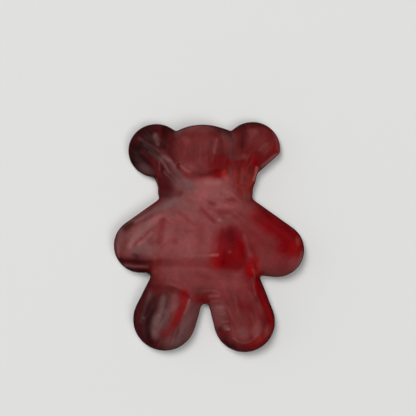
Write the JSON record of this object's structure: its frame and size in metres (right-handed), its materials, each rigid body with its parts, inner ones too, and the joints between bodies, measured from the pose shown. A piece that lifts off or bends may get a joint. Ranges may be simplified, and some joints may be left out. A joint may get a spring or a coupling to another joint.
{
  "type": "gummy bear",
  "caption": "Large moulded gummy bear in dark red gelatine, lying on its flat back with arms and legs spread and its rounded front up.",
  "frame": {"origin": "in the plane of the flat back, at the middle of the bear's width and height as seen from the front", "axes": "+Z out of the bear's front, up as it lies; +Y from the feet to the head; +X to the right as seen from the front"},
  "size_m": [0.1024, 0.1238, 0.0265],
  "materials": {
    "red_gummy": "dark red set gelatine, slightly see-through, with a hazy skin and oily wet patches"
  },
  "bodies": {
    "root": {"gummy_bear": "red_gummy"}
  },
  "joints": []
}
